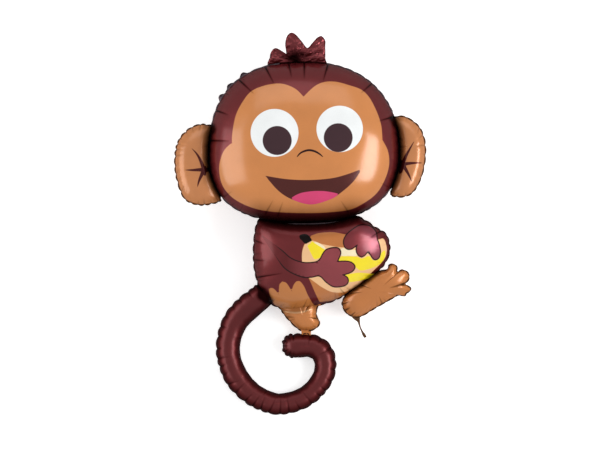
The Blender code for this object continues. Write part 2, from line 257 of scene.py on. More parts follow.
class Creases:
    """Where the creases of a seam start, how far they reach in, and how deep and slanted they are."""

    def __init__(self, length, pitch, reach, depth, seed, scallop=2.2, swell=1.5):
        random = np.random.default_rng(seed)
        count = max(6, round(length / pitch))
        gaps = random.uniform(0.72, 1.28, count)
        self.start = np.cumsum(gaps) * length / gaps.sum()
        self.reach = reach * np.exp(random.normal(0, 0.45, count))
        self.depth = depth * random.uniform(0.55, 1.35, count)
        self.slant = random.normal(0, 0.16, count)
        self.scallop = scallop * random.uniform(0.6, 1.3, count)
        self.swell = swell
        self.length = length
        self.long = ()

    def bulge(self, along):
        """Nought at each crease and one midway between two, with the scallop depth there."""
        after = np.searchsorted(self.start, along % self.length) % len(self.start)
        before = (after - 1) % len(self.start)
        gap = (self.start[after] - self.start[before]) % self.length
        share = ((along - self.start[before]) % self.length) / gap
        return np.sin(math.pi * share), self.scallop[after]

    def beside(self, place):
        """A distance along the seam, counted the short way round."""
        return (place + self.length / 2) % self.length - self.length / 2

    def sink(self, along, inward):
        """How far the film sinks below its smooth form at each place, and the painted shade of each crease's
        fold, one at most.
        """
        total = np.zeros(np.broadcast(along, inward).shape)
        fold = np.zeros(total.shape)
        for start, reach, depth, slant in zip(self.start, self.reach, self.depth, self.slant):
            across = self.beside(along - start - slant * inward)
            fade = np.clip(1 - inward / reach, 0, 1)
            total += depth * fade**1.4 * np.exp(-np.abs(across) / (1.6 + 4.2 * fade))
            fold = np.maximum(fold, SHORT_CREASE_SHADE * fade * np.exp(-((across / SHORT_CREASE_SHADE_WIDTH) ** 2)))
        wave, _ = self.bulge(along)
        total -= self.swell * np.abs(wave) * np.exp(-inward / SWELL_REACH)
        for start, first, last, depth in self.long:
            across = self.beside(along - start)
            fade = np.clip((last - inward) / (last - first), 0, 1) ** 0.55
            fade *= np.clip((inward - first) / 3 + 1, 0, 1)
            total += depth * fade * np.exp(-np.abs(across) / np.where(across < 0, STEEP_SIDE, GENTLE_SIDE))
            fade *= min(1, depth / FULL_CREASE_SHADE_DEPTH)
            fold = np.maximum(fold, fade * np.exp(-((across / LONG_CREASE_SHADE_WIDTH) ** 2)))
        return total, fold


trial = Creases(600, 26, 20, 2, seed=1)
print("a trial seam of 600 mm has", len(trial.start), "creases")

# %% [markdown]
# A film under pressure finds its own form. For a round balloon it is known: the height falls off as the
# root of one less the cube of the way out. For any other outline, the same law is read from a soap film
# over the outline, which is one linear system (Poisson's equation). It is solved here by conjugate
# gradients on the chamber's own mesh.

# %% The form of an inflated chamber
def soap_film(points, triangles, free):
    """Heights of an evenly pressed soap film, held at the points that aren't free, with the top at one."""
    rows, columns, weights = [], [], []
    area = np.zeros(len(points))
    for i in range(3):
        a, b, c = triangles[:, i], triangles[:, (i + 1) % 3], triangles[:, (i + 2) % 3]
        to_b, to_c = points[b] - points[a], points[c] - points[a]
        cross = np.abs(to_b[:, 0] * to_c[:, 1] - to_b[:, 1] * to_c[:, 0]) + 1e-9
        half_cotangent = 0.5 * (to_b * to_c).sum(axis=1) / cross
        rows += [b, c]
        columns += [c, b]
        weights += [half_cotangent, half_cotangent]
        area += np.bincount(a, weights=cross / 6, minlength=len(points))
    rows, columns, weights = (np.concatenate(part) for part in (rows, columns, weights))
    diagonal = np.bincount(rows, weights=weights, minlength=len(points))

    def pull(height):
        neighbours = np.bincount(rows, weights=weights * height[columns], minlength=len(points))
        return (diagonal * height - neighbours) * free

    height = np.zeros(len(points))
    left = area * free
    ready = left / diagonal
    way = ready.copy()
    size = left @ ready
    for _ in range(1200):
        pulled = pull(way)
        step = size / (way @ pulled)
        height += step * way
        left -= step * pulled
        ready = left / diagonal
        new_size = left @ ready
        if new_size < 1e-10 * size:
            break
        way = ready + new_size / size * way
        size = new_size
        if np.sqrt(size) < 1e-9 * area.sum():
            break
    return np.clip(height / height.max(), 0, 1)


def inflated(soap):
    """The height of a filled film of unit depth, from the soap film's."""
    return np.sqrt(np.clip(1 - (1 - soap) ** 1.5, 0, 1))


print("a quarter up the soap film, the filled film is at", round(float(inflated(np.array(0.25))), 2))

# %% [markdown]
# Every chamber is built the same way: rings of points from its middle out to the seam, front and back, and
# one more ring for the sealed margin outside the seam. The rings lie closer together near the seam, where
# the puckers are.

# %% One mesh that collects all chambers
class Skin:
    """Collects points in millimetres, faces, the finish of each face, and what the printing and the painted
    shade need to know.
    """

    def __init__(self):
        self.points = []
        self.faces = []
        self.finish = []
        self.pucker = []
        self.fold = []
        self.spans = {}
        self.count = 0

    def add(self, part, points, faces, finish, pucker, fold=0.0):
        """Pucker is a point's place along the seam (two numbers) and in from it. Fold is the painted shade of
        a crease, one in its fold.
        """
        self.points.append(points)
        self.faces.append(np.array(faces) + self.count)
        self.finish += [finish] * len(faces)
        self.pucker.append(np.broadcast_to(pucker, (len(points), 3)))
        self.fold.append(np.broadcast_to(fold, len(points)))
        self.spans.setdefault((part, finish), []).append((self.count, self.count + len(points)))
        self.count += len(points)


skin = Skin()
outlines = {}
SEAM_WIDTH = 4.0
FILM = 0.35


def spread(count, power=0.62):
    """Shares of the way from the middle to the seam, closer together at the seam."""
    return 1 - (1 - np.linspace(0, 1, count + 1)[1:]) ** (1 / power)


def normals_of(points, faces):
    """The unit normal at each point."""
    a, b, c = (points[faces[:, i]] for i in range(3))
    across = np.cross(b - a, c - a)
    total = np.zeros_like(points)
    for i in range(3):
        for k in range(3):
            total[:, k] += np.bincount(faces[:, i], weights=across[:, k], minlength=len(points))
    return total / (np.linalg.norm(total, axis=1)[:, None] + 1e-12)


def band_faces(count, bands, first=0, step=None, closed=True):
    """Triangles between rings, or open rows, of so many points. A step leads from ring to ring."""
    i = np.arange(count if closed else count - 1)
    j = (i + 1) % count
    faces = []
    for k in range(bands):
        inner = first + k * (step or count)
        outer = inner + (step or count)
        faces.append(np.column_stack([inner + i, outer + i, outer + j]))
        faces.append(np.column_stack([inner + i, outer + j, inner + j]))
    return np.vstack(faces)


def disc_faces(count, rings):
    """Triangles of a disc of rings round a middle point, anticlockwise from above."""
    i = np.arange(count)
    fan = np.column_stack([np.zeros(count, int), 1 + i, 1 + (i + 1) % count])
    return np.vstack([fan, band_faces(count, rings - 1, first=1)])


print("nine rings lie at", [round(float(s), 2) for s in spread(9)])

# %% [markdown]
# The middle of a chamber is where its rings start. The front and the back share the seam, so they share its
# creases, but each gets its own strays. The margin outside the seam is wavy, because it is sealed but not
# stretched.

# %% Waves, seams and films
def slow_waves(points, size, height, seed):
    """A gentle unevenness of the film, as a sum of a few long waves."""
    random = np.random.default_rng(seed)
    total = np.zeros(len(points))
    for _ in range(9):
        angle = random.uniform(0, 2 * math.pi)
        length = size * random.uniform(0.6, 1.7)
        phase = random.uniform(0, 2 * math.pi)
        along = points[:, 0] * math.cos(angle) + points[:, 1] * math.sin(angle)
        total += np.sin(2 * math.pi * along / length + phase)
    return height * total / 3


def on_seam(along, length, inward):
    """A place along a seam as a place on a circle, where a pattern meets itself, and how far in it is."""
    turn = 2 * math.pi * along / length
    radius = length / (2 * math.pi)
    return np.column_stack([radius * np.cos(turn), radius * np.sin(turn), inward])


def nearest_along(outline, x, y, length):
    """How far along an outline the nearest place to a point is."""
    return np.argmin(np.linalg.norm(outline - (x, y), axis=1)) * length / len(outline)


def lay_film(part, way, points, faces, sunk, finish, pucker, fold):
    """Sinks a film into its creases, turns it over if it is the back one (-1), and adds it to the skin."""
    points -= normals_of(points, faces) * sunk[:, None]
    points[:, 2] = np.maximum(points[:, 2], FILM / 2) * way
    skin.add(part, points, faces if way > 0 else faces[:, ::-1], finish, pucker, fold)
    return points


print("for its pattern a 600 mm seam has a radius of", round(float(on_seam(0.0, 600.0, 0.0)[0, 0])), "mm")

# %% A chamber from its outline
MARGIN_AT_CREASE = 0.9
MARGIN_WAVE = 1.6
SLOW_WAVE_SIZE = 90


def film_of(part, way, seam, middle, depth, creases, finish, rings, waves, seed):
    """Adds the front (1) or back (-1) film of a chamber, and returns its points on the seam."""
    count = len(seam)
    shares = spread(rings)
    flat = np.vstack([[middle], (middle + shares[:, None, None] * (seam - middle)).reshape(-1, 2)])
    faces = disc_faces(count, rings)
    soap = soap_film(flat, faces, np.arange(len(flat)) < len(flat) - count)
    points = np.column_stack([flat, inflated(soap) * depth / 2])
    reach = np.linalg.norm(seam - middle, axis=1)
    inward = np.concatenate([[reach.mean()], ((1 - shares)[:, None] * reach).reshape(-1)])
    along = np.concatenate([[0], np.tile(np.arange(count) * creases.length / count, rings)])
    sunk, fold = creases.sink(along, inward)
    sunk[0] = sunk[1 : count + 1].mean()
    sunk += slow_waves(flat, SLOW_WAVE_SIZE, waves, seed + way) * np.clip(inward / 25, 0, 1)
    sunk *= np.clip(0.15 + inward / 4.0, 0, 1)
    pucker = on_seam(along, creases.length, inward)
    return lay_film(part, way, points, faces, sunk, finish, pucker, fold)[-count:]


def chamber(part, outline, middle, depth, creases, finishes, rings, seed, waves=0.5, weld=None, flare=0.0):
    """Adds a chamber inside an outline. Finishes are those of its front, back and margin."""
    count = len(outline)
    along = np.arange(count) * creases.length / count
    out = outward(outline)
    # Between two creases the sealed margin shows as a crescent, and at a crease the film is pulled in over it
    wave, scallop = creases.bulge(along)
    between = np.abs(wave) ** 0.8
    edge = outline - out * (scallop * (1 - between))[:, None]
    seam = edge - out * (MARGIN_AT_CREASE + (SEAM_WIDTH - MARGIN_AT_CREASE) * between)[:, None]
    front, back = (
        film_of(part, way, seam, middle, depth, creases, finish, ring_count, waves, seed)
        for way, finish, ring_count in ((1, finishes[0], rings[0]), (-1, finishes[1], rings[1]))
    )
    # The margin is flat where it is welded to a neighbour, and elsewhere each scallop tips up or down
    random = np.random.default_rng(seed)
    tips = random.choice([-1, 1], len(creases.start)) * random.uniform(0.3, 1.0, len(creases.start))
    level = MARGIN_WAVE * between * tips[np.searchsorted(creases.start, along) % len(tips)]
    if weld:
        level *= np.clip(-depth_inside(outline, outlines[weld]) / 10 + 0.2, 0, 1)
    rim = np.column_stack([edge + out * np.broadcast_to(flare, count)[:, None], level])
    pucker = on_seam(np.tile(along, 3), creases.length, np.zeros(3 * count))
    skin.add(part, np.vstack([front, rim, back]), band_faces(count, 2), finishes[2], pucker)
    outlines[part] = edge


print("a chamber's margin is", SEAM_WIDTH, "mm wide")

# %% [markdown]
# The head has few creases, all of them long and thin, and small tight puckers right at its seam.

# %% The head
HEAD_DEPTH = 228.0
head_edge = head_outline(480)
head_length = length_round(head_edge)
LONG_CREASES = (
    (-96, 183, 0, 48, 2.0), (-38, 193, 0, 38, 1.5), (-1, 195, 0, 42, 1.7), (58, 190, 0, 44, 2.0),
    (-158, 152, 2, 52, 1.6), (-216, 78, 0, 34, 1.6), (-231, 3, 0, 50, 1.7), (163, 144, 0, 38, 1.4),
    (216, 62, 0, 38, 1.6), (-101, -184, 12, 52, 0.9), (-69, -190, 12, 50, 0.9), (112, -180, 12, 46, 0.9),
    (-196, -134, 4, 30, 0.7), (206, -110, 4, 30, 0.6),
)


def long_creases(outline, length, creases):
    """Long creases, each given by its place at the edge, how far in it starts and ends, and its depth."""
    return [(nearest_along(outline, x, y, length), *rest) for x, y, *rest in creases]


head_creases = Creases(head_length, 25, 10, 1.2, seed=11, scallop=1.6, swell=1.0)
head_creases.long = long_creases(head_edge, head_length, LONG_CREASES)
HEAD_FINISH = ("face", "brown", "head_margin")
# Three scallops of the head's margin stick out at the upper left
FLARES = ((-146, 159), (-178, 134), (-202, 110))
FLARE_REACH = 6.5
FLARE_HALF_WIDTH = 10.0
flare = np.zeros(len(head_edge))
for x, y in FLARES:
    tip = head_edge[np.argmin(np.linalg.norm(head_edge - (x, y), axis=1))]
    away = np.linalg.norm(head_edge - tip, axis=1)
    flare += FLARE_REACH * np.clip(1 - (away / FLARE_HALF_WIDTH) ** 2, 0, 1) ** 0.8
chamber("head", head_edge, (0, -5), HEAD_DEPTH, head_creases, HEAD_FINISH, (46, 14), 21, 0.35, flare=flare)
print("head: seam", round(head_length), "mm,", len(head_creases.start), "creases")

# %% [markdown]
# Ears, body, leg and foot are smaller pillows with deeper puckers, because a small chamber pulls its edge
# in more sharply.

# %% The ears and the body
def pillow(part, edge, middle, depth, count, creases, finishes, rings, seed, scallop, long=(), weld="head"):
    """A chamber from a free outline. Creases are given by their pitch, reach and depth."""
    outline = smooth_curve(edge, count)
    length = length_round(outline)
    made = Creases(length, *creases, seed, scallop, swell=0.8)
    made.long = long_creases(outline, length, long)
    chamber(part, outline, middle, depth, made, finishes, rings, seed + 50, weld=weld)
    print(part, "has", len(made.start), "creases")


LEFT_EAR = LEFT_EAR_EDGE + left_ear_weld
RIGHT_EAR = RIGHT_EAR_EDGE + right_ear_weld
BODY = BODY_EDGE + chin_weld
EAR_FINISH = ("ear", "caramel", "caramel_margin")
BODY_FINISH = ("belly", "brown", "margin")
EAR_DEPTH = 66.0
BODY_DEPTH = 138.0
BODY_CREASES = (
    (-121, -236, 2, 28, 1.2), (-125, -283, 2, 26, 1.2), (-119, -328, 2, 66, 1.4), (-4, -408, 2, 30, 1.0),
    (100, -371, 2, 26, 0.9), (186, -209, 0, 28, 1.3),
)
pillow("left_ear", LEFT_EAR, (-257, -12), EAR_DEPTH, 220, (20, 14, 1.6), EAR_FINISH, (26, 9), 31, 3.2)
pillow("right_ear", RIGHT_EAR, (252, -8), EAR_DEPTH, 200, (22, 12, 1.4), EAR_FINISH, (26, 9), 32, 2.4)
pillow("body", BODY, (42, -300), BODY_DEPTH, 300, (23, 16, 2.0), BODY_FINISH, (26, 12), 33, 2.6, BODY_CREASES)

# %% The raised leg and the foot
LIMB_FINISH = ("caramel", "caramel", "caramel_margin")
LEG_DEPTH = 50.0
FOOT_DEPTH = 44.0
LEG_CREASES = (
    (229, -311, 2, 52, 2.4), (247, -342, 2, 40, 2.0), (106, -362, 4, 34, 1.6), (133, -341, 4, 30, 1.4),
    (91, -392, 1, 17, 1.5), (97, -409, 1, 15, 1.5), (113, -421, 1, 14, 1.3), (190, -393, 1, 20, 1.0),
)
FOOT_CREASES = (
    (-16, -384, 4, 34, -1.6), (12, -387, 4, 26, 1.2), (36, -424, 2, 22, 1.4), (-46, -425, 2, 20, 1.2),
)
for part, edge, middle, depth, count, creases, rings, seed, scallop, long in (
    ("leg", LEG_EDGE, (176, -360), LEG_DEPTH, 240, (21, 12, 1.5), (18, 9), 34, 1.6, LEG_CREASES),
    ("foot", FOOT_EDGE, (-4, -424), FOOT_DEPTH, 140, (22, 13, 1.6), (14, 8), 35, 2.0, FOOT_CREASES),
):
    pillow(part, edge, middle, depth, count, creases, LIMB_FINISH, rings, seed, scallop, long, weld="body")

# %% [markdown]
# The tail is a long tube, so it is built along its middle line and not in rings. Its outer seam is longer
# than its inner one, and puckers more.

# %% The tail's middle line
TAIL_STEPS = 380
TIP_STEPS = 34
TIP_LENGTH = 25.0
ROOT_LENGTH = 12.0


def tail_line():
    """For each row of the tail: its place along the tail, its middle, the way ahead and the tail's radius."""
    line = smooth_curve(TAIL_LINE, 1200, closed=False)
    walked = walked_along(line)
    tip_start = walked[-1] - TIP_LENGTH
    place = np.concatenate([
        np.linspace(0, tip_start, TAIL_STEPS - TIP_STEPS, endpoint=False),
        np.linspace(tip_start, walked[-1], TIP_STEPS),
    ])
    x, y, half = (np.interp(place, walked, line[:, k]) for k in range(3))
    ahead = np.column_stack([np.gradient(x), np.gradient(y)])
    ahead /= np.linalg.norm(ahead, axis=1)[:, None]
    return place, np.column_stack([x, y]), ahead, half - SEAM_WIDTH


place, middle, ahead, radius = tail_line()
end, tip_radius = place[-1], radius[-1]
left = np.column_stack([-ahead[:, 1], ahead[:, 0]])
# Both ends are round: the half width falls to nought over the last stretch
to_tip = np.clip(1 - (end - place) / tip_radius, 0, 1)
to_root = np.clip(1 - place / ROOT_LENGTH, 0, 1)
round_ends = np.sqrt(np.clip(1 - to_tip**2.2, 0.0004, 1) * np.clip(1 - to_root**2, 0.0004, 1))
print("tail:", round(end), "mm along its middle")

# %% The tail's seams
INNER, OUTER = 1, -1
TIP_PITCH = math.radians(30)
TIP_SCALLOP = 3.4
tail_creases = {
    INNER: Creases(end, 34, 8, 0.6, seed=37, scallop=0.6, swell=0.25),
    OUTER: Creases(end, 21, 15, 2.3, seed=36, scallop=3.2, swell=1.0),
}
# Round the lowest stretch the creases of the outer seam run right across the tube
tail_creases[OUTER].reach += 30 * np.exp(-(((tail_creases[OUTER].start / end - 0.53) / 0.16) ** 2))
# Short scallops run all round the tip
angle = np.arcsin(to_tip)
scalloped = TIP_SCALLOP * (np.abs(np.sin(math.pi * angle / TIP_PITCH)) ** 0.8 - 0.5) * (to_tip > 0)
seams, edges = {}, {}
for side, creases in tail_creases.items():
    wave, scallop = creases.bulge(place)
    between = np.abs(wave) ** 0.8
    seams[side] = radius * round_ends + (1 - between) * (SEAM_WIDTH - MARGIN_AT_CREASE - scallop)
    seams[side] = np.where(round_ends < 0.5, radius * round_ends, seams[side])
    edges[side] = radius * round_ends + SEAM_WIDTH - scallop * (1 - between) * np.clip(round_ends, 0, 1)
    edges[side] += scalloped * np.cos(angle)
print("creases of the inner and outer seam:", [len(creases.start) for creases in tail_creases.values()])

# %% The tail's films
# How strong the painted shade in the tail's creases is
TAIL_CREASE_SHADE = 1.6


def tip_creases(along, aside):
    """One in the fold of each short crease that runs in from the seam round the tip."""
    past_centre = np.clip(along - end + tip_radius, 0, None)
    from_centre = np.hypot(past_centre, aside)
    turned = (np.arctan2(past_centre, np.abs(aside)) + TIP_PITCH / 2) % TIP_PITCH - TIP_PITCH / 2
    reach = np.clip(from_centre / tip_radius - 0.45, 0, 0.5) * 2
    return np.exp(-((turned * from_centre / 1.7) ** 2)) * reach * (past_centre > 0)


def tail_film(way, columns):
    """Adds the tail's front (1) or back (-1) film, and returns its rows of points, outer seam first."""
    share = np.sin(np.linspace(-math.pi / 2, math.pi / 2, columns))
    flat = np.stack([middle + left * (v * seams[INNER if v > 0 else OUTER])[:, None] for v in share], axis=1)
    height = np.sqrt(np.clip(1 - np.abs(share) ** 2.3, 0, 1))[None, :] * (radius * round_ends)[:, None]
    points = np.dstack([flat, height]).reshape(-1, 3)
    along = np.repeat(place, columns)
    inward = ((1 - np.abs(share))[None, :] * radius[:, None]).reshape(-1)
    is_inner = np.tile(share > 0, TAIL_STEPS)
    # Creases reach over the middle from the outer seam, so its distance is counted right across
    from_outer = ((1 + share)[None, :] * radius[:, None]).reshape(-1)
    sunk, fold = tail_creases[OUTER].sink(along, from_outer)
    sunk_inside, fold_inside = tail_creases[INNER].sink(along, inward)
    tip_fold = tip_creases(along, (share[None, :] * (radius * round_ends)[:, None]).reshape(-1))
    sunk += np.where(is_inner, sunk_inside, 0) + 1.3 * tip_fold
    sunk *= np.clip(0.15 + inward / 4.0, 0, 1) * np.repeat(round_ends, columns)
    # The creases' folds get painted shade, stronger on the tail
    fold = np.maximum(np.maximum(fold, np.where(is_inner, fold_inside, 0)), 0.45 * tip_fold)
    fold = np.minimum(1, TAIL_CREASE_SHADE * fold)
    pucker = np.column_stack([along, np.where(is_inner, 500.0, 0.0), inward])
    faces = band_faces(columns, TAIL_STEPS - 1, closed=False)
    return lay_film("tail", way, points, faces, sunk, "tail", pucker, fold).reshape(TAIL_STEPS, columns, 3)


front, back = tail_film(1, 23), tail_film(-1, 13)
print("rows and columns of the tail's front:", front.shape[:2])

# %% The tail's margin
def down_and_up(outer_side, inner_side):
    """A line down the tail's outer side, round its tip and back up its inner side."""
    return np.concatenate([outer_side, inner_side[::-1]])


wave, _ = tail_creases[OUTER].bulge(place)
level = 1.2 * np.sin(place / 19.0) * np.abs(wave)
beyond = middle + ahead * (SEAM_WIDTH * to_tip**2 + scalloped * to_tip)[:, None]
rim = down_and_up(beyond - left * edges[OUTER][:, None], beyond + left * edges[INNER][:, None])
outlines["tail"] = rim
rim = np.column_stack([rim, down_and_up(level, 0.4 * level)])
bands = np.vstack([down_and_up(front[:, 0], front[:, -1]), rim, down_and_up(back[:, 0], back[:, -1])])
skin.add("tail", bands, band_faces(len(rim), 2, closed=False), "margin", (0.0, 0.0, 0.0))
print("tail's margin:", round(walked_along(rim)[-1]), "mm long")

# %% [markdown]
# The hair tuft isn't filled. It is three flat lobes of the same two films, crumpled like foil. Sharp ridges
# come from taking the absolute value of waves that cross each other.

# %% The hair tuft
def crumple(points, seed, size, height, lean):
    """Sharp-edged folds that run mostly across. Lean is how far their directions differ, in radians."""
    random = np.random.default_rng(seed)
    total = np.zeros(len(points))
    for octave in range(3):
        for _ in range(3):
            angle = math.pi / 2 + random.uniform(-lean, lean)
            bend = random.uniform(0, 2 * math.pi)
            length = size / 1.8**octave * random.uniform(0.8, 1.25)
            along = points[:, 0] * math.cos(angle) + points[:, 1] * math.sin(angle)
            across = -points[:, 0] * math.sin(angle) + points[:, 1] * math.cos(angle)
            phase = along / length + 0.4 * np.sin(across / length * 0.9 + bend)
            total += (1 - 2 * np.abs(2 * (phase - np.floor(phase + 0.5)))) / 1.9**octave
    return height * total / 3


def tuft():
    count, rings = 240, 14
    outline = smooth_curve(TUFT_EDGE, count)
    middle = np.array([-14.0, 194.0])
    shares = np.linspace(0, 1, rings + 1)[1:]
    flat = np.vstack([[middle], (middle + shares[:, None, None] * (outline - middle)).reshape(-1, 2)])
    faces = disc_faces(count, rings)
    fold = crumple(flat, 5, 25.0, 3.6, 0.6)
    puff = 2.6 * np.sqrt(np.clip(1 - np.concatenate([[0], np.repeat(shares, count)]) ** 2, 0, 1))
    for way in (1, -1):
        level = fold + way * (FILM / 2 + puff + np.abs(crumple(flat, 8 + way, 10.0, 0.6, 1.2)) * (puff > 0))
        points = np.column_stack([flat, level])
        skin.add("tuft", points, faces if way > 0 else faces[:, ::-1], "tuft", (0.0, 0.0, 40.0))
    # One band of faces joins the rims of the two films
    below = len(flat)
    rim = band_faces(count, 1, first=below - count, step=below)
    skin.faces.append(rim + skin.count - 2 * below)
    skin.finish += ["tuft"] * len(rim)
    outlines["tuft"] = outline


tuft()
print("tuft:", round(float(np.ptp(outlines["tuft"][:, 0]))), "mm wide")

# %% [markdown]
# Two more narrow strips of flat film hang from the caramel parts. The filling tab below the knee has a
# self-sealing valve inside and is twisted a little. A short tie holds the curl of the tail to the foot.

# %% The filling tab and the foot's tie
TAB_LINE = (
    (124, -412, 17.0), (127, -424, 9.5), (131.5, -434, 3.6), (134.5, -446, 1.9), (139.5, -458, 2.3),
    (144.5, -467, 4.4), (148.5, -473.5, 4.2),
)
TIE_LINE = ((4, -454, 13.0), (4, -462, 11.5), (4, -470, 12.0), (4, -478, 13.5))
STRIP_COLUMNS = 9


def strip(part, middle_line, steps, twist, finish, raised=0.0):
    """A flat strip along a line whose points also give its half width. It turns by twist towards its end."""
    line = smooth_curve(middle_line, steps, closed=False)
    ahead = np.gradient(line[:, :2], axis=0)
    ahead /= np.linalg.norm(ahead, axis=1)[:, None]
    left = np.column_stack([-ahead[:, 1], ahead[:, 0]])
    turn = twist * np.linspace(-0.3, 1, steps).clip(0, 1)
    for way in (1, -1):
        rows = []
        for v in np.linspace(-1, 1, STRIP_COLUMNS):
            side = left * (v * line[:, 2] * np.cos(turn))[:, None]
            ripple = 0.35 * np.sin(v * 7 + np.arange(steps) / 5)
            lift = raised + v * line[:, 2] * np.sin(turn) + ripple + way * 0.5 * np.sqrt(1 - v * v + 0.02)
            rows.append(np.column_stack([line[:, :2] + side, lift]))
        points = np.stack(rows, axis=1).reshape(-1, 3)
        faces = band_faces(STRIP_COLUMNS, steps - 1, closed=False)
        skin.add(part, points, faces if way > 0 else faces[:, ::-1], finish, (0.0, 0.0, 5.0))


strip("tab", TAB_LINE, 44, 0.7, "tab")
strip("tie", TIE_LINE, 16, 0.0, "caramel")
# Under the chin a thin strip of margin film stands raised in the groove along the weld, a painted highlight
# for the thin line of light there
CHIN_HIGHLIGHT_RAISED = 27.0
CHIN_HIGHLIGHT_HALF_WIDTH = 1.3
chin_highlight_strip = [
    (x, chin_edge(x) - 1.5, CHIN_HIGHLIGHT_HALF_WIDTH * math.sin(math.pi * (x + 42) / 124) ** 0.5)
    for x in range(-40, 82, 8)
]
strip("body", chin_highlight_strip, 60, 0.0, "head_margin", CHIN_HIGHLIGHT_RAISED)
print("filling tab:", round(TAB_LINE[0][1] - TAB_LINE[-1][1]), "mm long")

# %% [markdown]
# Lying down: the head is the thickest chamber, so its seam is the highest. The body slants down from the
# chin until its own back touches, and the tail runs level. Where a back presses on the floor it goes flat.

# %% Lay the balloon on the floor
TAIL_LEVEL = 24.0
BODY_SLOPE = 0.345
SLOPE_ROUNDING = 26.0
FLOOR_PRESS = 1.5


def seam_height(y):
    """How high the seam runs above the floor, in millimetres."""
    head_level = HEAD_DEPTH / 2 - FLOOR_PRESS
    start = -HEAD_HALF_HEIGHT + WELD_OVERLAP
    end = start - (head_level - TAIL_LEVEL) / BODY_SLOPE

    def ramp(way):
        return 0.5 * (way + np.sqrt(way * way + SLOPE_ROUNDING**2)) - SLOPE_ROUNDING / 2

    return np.maximum(TAIL_LEVEL, head_level - BODY_SLOPE * (ramp(start - y) - ramp(end - y)))


flat_points = np.vstack(skin.points)
laid = flat_points.copy()
laid[:, 2] += seam_height(laid[:, 1])
laid[:, 2] = np.maximum(laid[:, 2], 0.0)
faces = np.vstack(skin.faces)
print("points", len(laid), "triangles", len(faces), "lowest", round(float(laid[:, 2].min()), 2))

# %% The balloon's mesh
mesh = bpy.data.meshes.new("foil_balloon_skin")
mesh.from_pydata((laid * MM + np.append(HEAD_MIDDLE, 0)).tolist(), [], faces.tolist())
mesh.validate()
balloon = bpy.data.objects.new("foil_balloon_skin", mesh)
bpy.context.scene.collection.objects.link(balloon)
mesh.shade_smooth()
print("mesh:", len(mesh.vertices), "points and", len(mesh.polygons), "faces")

# %% [markdown]
# The picture is printed on the film before the balloon is made, so it is flat colour with crisp edges and
# lies on the film, not over it. Its outlines are measured on a photo 600 pixels wide, and turned into
# millimetres here.

# %% Outlines in the photo's pixels
HEAD_MIDDLE_PX = (304.6, 142.5)


def from_photo(points):
    """Millimetres from the middle of the head, from pixels of the photo."""
    p = (np.array(points, float) - HEAD_MIDDLE_PX) * PIXEL / MM
    p[..., 1] *= -1
    return p


def inside_any(points, *outlines, count=150):
    """How far inside any of several smooth outlines, in the photo's pixels, each point is."""
    return np.max([depth_inside(points, smooth_curve(from_photo(o), count)) for o in outlines], axis=0)


print("one pixel of the photo is", PIXEL / MM, "mm")

# %% [markdown]
# Where an outline has a corner, its point is given twice, and the smooth curve then stops there and starts
# anew.

# %% The face's outlines
FACE_PX = (
    (303.5, 97.9), (303.5, 97.9), (296, 90.5), (286, 85.8), (276, 84.7), (262.9, 87.2), (251.3, 92.6),
    (243, 102.9), (236.3, 116.2), (233, 132.8), (232.5, 143.5), (232.5, 143.5), (225, 150.5), (220.6, 161),
    (219.7, 172.6), (223, 185.8), (231.4, 196.6), (243, 204), (256.2, 209), (269.5, 211.5), (286, 212.7),
    (307.6, 213.2), (329.2, 212.4), (349, 209.9), (362.3, 204), (375.6, 194.1), (383.9, 180.9),
    (388.5, 165.9), (387.5, 152), (381.8, 140.5), (381.8, 140.5), (380.6, 126.1), (376.4, 112.9),
    (369, 98.5), (360.7, 90.5), (349, 86.3), (335.8, 82.9), (324.2, 83.2), (314.5, 87.5),
)
MOUTH_PX = (
    (265.3, 176.2), (265.3, 176.2), (286, 179.5), (307.6, 180.5), (329.2, 179), (344.1, 175.6),
    (361.5, 169.3), (361.5, 169.3), (352.4, 182.5), (339.1, 194.1), (329.2, 199.9), (310.9, 204.6),
    (292.7, 199.9), (279, 191.5),
)
TONGUE_PX = (
    (291, 199), (299, 194), (308, 192), (317.6, 191.3), (328, 192), (340, 195.5), (338, 205), (310, 212),
    (290, 206),
)
NOSE_PX = (
    (296.3, 158.5), (300.3, 153.9), (305.4, 151.6), (309.8, 151.0), (314.7, 152.1), (319.3, 154.7),
    (323.4, 158.2),
)
EYES_PX = ((274.8, 133.8, 23.7), (339.3, 129.9, 23.0))
PUPILS_PX = ((277.4, 141.4, 14.4), (337.8, 138.6, 14.3))
LEFT_SPIKES_PX = (
    ((192, 148.5), (197.2, 154.2), (201, 161), (203.8, 168.5), (205, 174)),
    ((185, 170.2), (193, 170.3), (200, 170), (208, 170)),
    ((197.6, 187.8), (199.4, 181), (202, 175), (205, 168)),
)
RIGHT_SPIKES_PX = (
    ((413.8, 141.5), (409.2, 149.5), (405, 157.5), (402, 166), (400, 172)),
    ((422, 163.1), (413, 163.3), (406, 164), (398, 166)),
    ((411.7, 182.4), (408.6, 175.6), (405.2, 169.4), (401, 162)),
)
print("face outline of", len(FACE_PX), "points")

# %% The body's outlines
BELLY_PX = (
    (311.3, 235.6), (311.3, 235.6), (318, 233.2), (326, 232.3), (335, 232.4), (352, 236), (368, 240),
    (379.2, 239), (383, 238.4), (385.6, 243), (385.9, 251), (383.4, 260), (372.4, 271.4), (358.4, 285.6),
    (351, 291.4), (343, 296.4), (332.5, 300.6), (319.6, 302.3), (319.6, 302.3), (314.6, 291.6),
    (311.4, 284), (308.4, 277.5), (303.8, 268), (302.2, 259.8), (302.3, 251), (304.3, 244.3),
)
PEACH_PX = (
    (304.8, 244.4), (304.8, 244.4), (312.1, 240.6), (320.6, 243.6), (330.4, 245.7), (342.3, 247.3),
    (356, 246), (370, 243), (379.2, 239.4), (384, 239.4), (386.8, 250), (383.6, 260), (371.2, 272.8),
    (358.2, 284.6), (350.2, 289.8), (342.3, 292.6), (331.4, 291.8), (321.7, 287), (314, 281.4),
    (308.6, 277.6), (308.6, 277.6), (303.8, 268), (302, 259.8), (302.3, 251),
)
